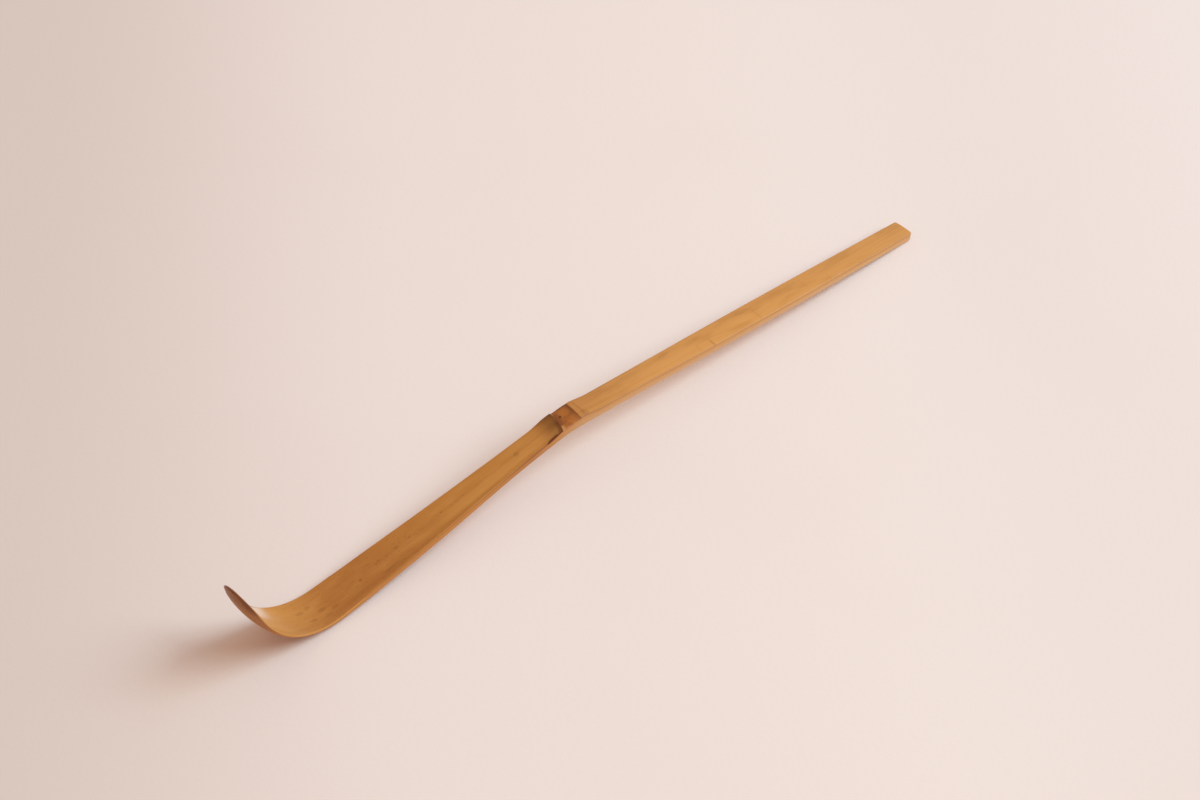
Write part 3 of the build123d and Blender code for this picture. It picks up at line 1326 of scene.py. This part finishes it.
@dataclass
class Scoop(Stretch):
    """The heat-bent, hollowed end with its thin rounded rim."""

    bend_rows: int = 90
    end_rows: int = 70
    end_turn: float = 88.6

    def rows(self) -> Array:
        """Even rows round the bend, then rows that close up towards the tip by a quarter turn.

        Returns:
            The rows' distances, rising.
        """
        end = self.strip.length - self.strip.end_length
        turn = np.radians(np.linspace(0.0, self.end_turn, self.end_rows))
        bend = np.linspace(self.strip.starts[Zone.SCOOP], end, self.bend_rows)
        return np.concatenate((bend[:-1], end + self.strip.end_length * np.sin(turn)))


@dataclass(frozen=True)
class Table:
    """The pale table top that the scoop lies on, in metres, with painted shade to both sides."""

    reach: float = 1.6
    lines: int = 17
    base: Colour = tone(237, 221, 212)
    shade: Colour = tone(234, 217, 207)
    painted_falloff: Colour = tone(222, 205, 196)
    sideways: tuple = (0.808, -0.597, 0.0)
    mottle: tuple = (14.0, 14.0, 14.0)
    fibre: tuple = (900.0, 900.0, 900.0)

    def build(self) -> bpy.types.Object:
        """Make the table as a level grid of squares.

        Returns:
            The table.
        """
        steps = np.linspace(-self.reach, self.reach, self.lines)
        x, y = np.meshgrid(steps, steps, indexing="ij")
        points = np.stack((x, y, np.zeros_like(x)), axis=-1).reshape(-1, 3)
        index = np.arange(x.size).reshape(x.shape)
        mesh = bpy.data.meshes.new("table_mesh")
        mesh.from_pydata(points.tolist(), [], squares(index.T).tolist())
        mesh.materials.append(self.material())
        table = add("table", mesh)
        return table

    def material(self) -> bpy.types.Material:
        """Build the paper-like finish of the table.

        Returns:
            The material.
        """
        graph = Graph("table_paper")
        where = Link(graph, graph.node("ShaderNodeTexCoord").outputs["Object"])
        mottle = graph.noise(where, self.mottle, 2.0)
        fibre = graph.noise(where, self.fibre)
        off = Link(graph, graph.vector("DOT_PRODUCT", where, self.sideways).outputs["Value"])
        colour = graph.coats(
            self.base,
            (mottle.past(0.45, 0.75) * 0.4, self.shade),
            # painted shade: the table darkens off to both sides
            (off.short(-0.125, -0.035) + off.past(0.05, 0.11) * 0.3, self.painted_falloff),
        )
        return graph.finish(colour, 0.85, fibre, {"Specular IOR Level": 0.2})


@dataclass(frozen=True)
class Lamp:
    """One soft lamp that shines at the object, in metres and watts."""

    name: str
    place: tuple[float, float, float]
    wide: float
    tall: float
    power: float
    colour: tuple[float, float, float]

    def build(self) -> None:
        """Hang the lamp in its place and turn it to the object."""
        data = bpy.data.lights.new(self.name, "AREA")
        data.shape = "ELLIPSE"
        data.size, data.size_y = self.wide, self.tall
        data.energy = self.power
        data.color = self.colour
        aim(add(self.name, data), Vector(self.place), -Vector(self.place))


@dataclass(frozen=True)
class Studio:
    """The soft light, and the camera, in millimetres and degrees.

    The warm sky and the cool lamps add up to a neutral light on the table.
    """

    target: tuple = (5.614, 6.493, 0.0)
    elevation: float = 45.0
    heading: float = 47.832
    away: float = 493.55
    lens: float = 72.0
    sensor: float = 36.0
    nearest: float = 10.0
    sky: float = 0.62
    sky_tint: Colour = (1.0, 0.75, 0.6, 1.0)
    lamps: tuple[Lamp, ...] = (
        Lamp("soft_lamp", (0.734, -0.664, 0.99), 1.0, 1.0, 16.7, (0.68, 0.887, 1.0)),
        Lamp("side_fill", (1.12, -0.241, 0.803), 1.0, 1.0, 3.8, (0.2, 0.6, 1.0)),
    )

    def light(self) -> None:
        """Light the scene by an even sky and the lamps."""
        world = bpy.data.worlds.new("studio")
        world.use_nodes = True
        back = world.node_tree.nodes["Background"]
        back.inputs["Color"].default_value = self.sky_tint
        back.inputs["Strength"].default_value = self.sky
        bpy.context.scene.world = world
        for lamp in self.lamps:
            lamp.build()

    def shoot(self) -> None:
        """Set the camera on a sphere round its target."""
        rise, turn = np.radians(self.elevation), np.radians(self.heading)
        level = np.cos(rise)
        ahead = Vector((level * np.cos(turn), level * np.sin(turn), -np.sin(rise)))
        data = bpy.data.cameras.new("camera")
        data.lens = self.lens
        data.sensor_width = self.sensor
        data.clip_start = self.nearest * MM
        camera = add("camera", data)
        aim(camera, (Vector(self.target) - ahead * self.away) * MM, ahead)
        bpy.context.scene.camera = camera


MARKS: dict[Zone, tuple[Union[Line, Blot], ...]] = {
    Zone.HANDLE: (
        Line(61.0, 0.45, 0.95, -0.35, 0.45, 0.26),
        Line(64.5, 0.4, 0.8, -0.3, 0.4, 0.09),
        Line(47.2, 0.0, 0.75, -0.4, 0.5, 0.11),
        Line(32.2, -0.4, 0.4, -0.3, 0.5, 0.07),
        Line(25.8, 0.3, 0.8, -0.3, 0.5, 0.06),
        Blot(64.0, -0.3, 3.0, 0.35, 0.1),
        Blot(49.5, -0.5, 2.6, 0.3, 0.16),
        Blot(35.0, -0.45, 2.6, 0.28, 0.1),
        Blot(71.5, -0.6, 2.0, 0.3, 0.08),
        Blot(82.0, -0.4, 4.0, 0.4, 0.1),
    ),
    Zone.SCAR: (Line(96.5, -0.6, 0.6, 0.2, 0.36, 0.3), Blot(96.4, 0.75, 1.2, 0.5, 0.22)),
    Zone.BLADE: (
        Blot(113.0, 0.0, 0.8, 0.26, 0.26),
        Blot(132.3, -0.1, 0.5, 0.07, 0.3),
        Blot(140.2, -0.12, 0.6, 0.06, 0.3),
        Blot(143.8, -0.12, 0.7, 0.06, 0.35),
        Blot(147.0, 0.64, 2.6, 0.07, 0.3),
    ),
    Zone.SCOOP: (
        Blot(153.2, 0.13, 0.5, 0.1, 0.45),
        Blot(162.6, 0.08, 1.1, 0.12, 0.28),
        Blot(164.6, -0.35, 0.9, 0.12, 0.22),
        Blot(166.6, -0.26, 1.2, 0.12, 0.28),
        Blot(165.4, 0.36, 1.0, 0.12, 0.28),
        Blot(162.4, 0.52, 1.2, 0.1, 0.24),
        Blot(160.4, 0.36, 1.0, 0.12, 0.22),
    ),
}


def main() -> None:
    """Build every piece of the scoop in order, then the table, the light and the camera."""
    logging.basicConfig(level=logging.INFO, format="%(name)s %(message)s")
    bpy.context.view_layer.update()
    strip = Strip()
    held = Bamboo("handle_bamboo", MARKS[Zone.HANDLE] + MARKS[Zone.SCAR])
    flat = Bamboo("blade_bamboo", MARKS[Zone.BLADE], smoked=True)
    pieces = (
        Handle(strip, Zone.HANDLE, "bamboo", held),
        SheathScar(strip, Zone.SCAR, "scar", Bamboo("scar_bamboo", MARKS[Zone.SCAR])),
        NodeBand(strip, Zone.BAND, "band", Bark("band_bark")),
        NodeRidge(strip, Zone.RIDGE, "ridge", Bamboo("ridge_bamboo", smoked=True)),
        Blade(strip, Zone.BLADE, "bamboo", flat),
        Scoop(strip, Zone.SCOOP, "bamboo", Bamboo("scoop_bamboo", MARKS[Zone.SCOOP])),
    )
    for piece in pieces:
        piece.dress(piece.build())
    Table().build()
    studio = Studio()
    studio.light()
    studio.shoot()
    bpy.context.scene.view_settings.view_transform = "Standard"


if __name__ == "__main__":
    main()
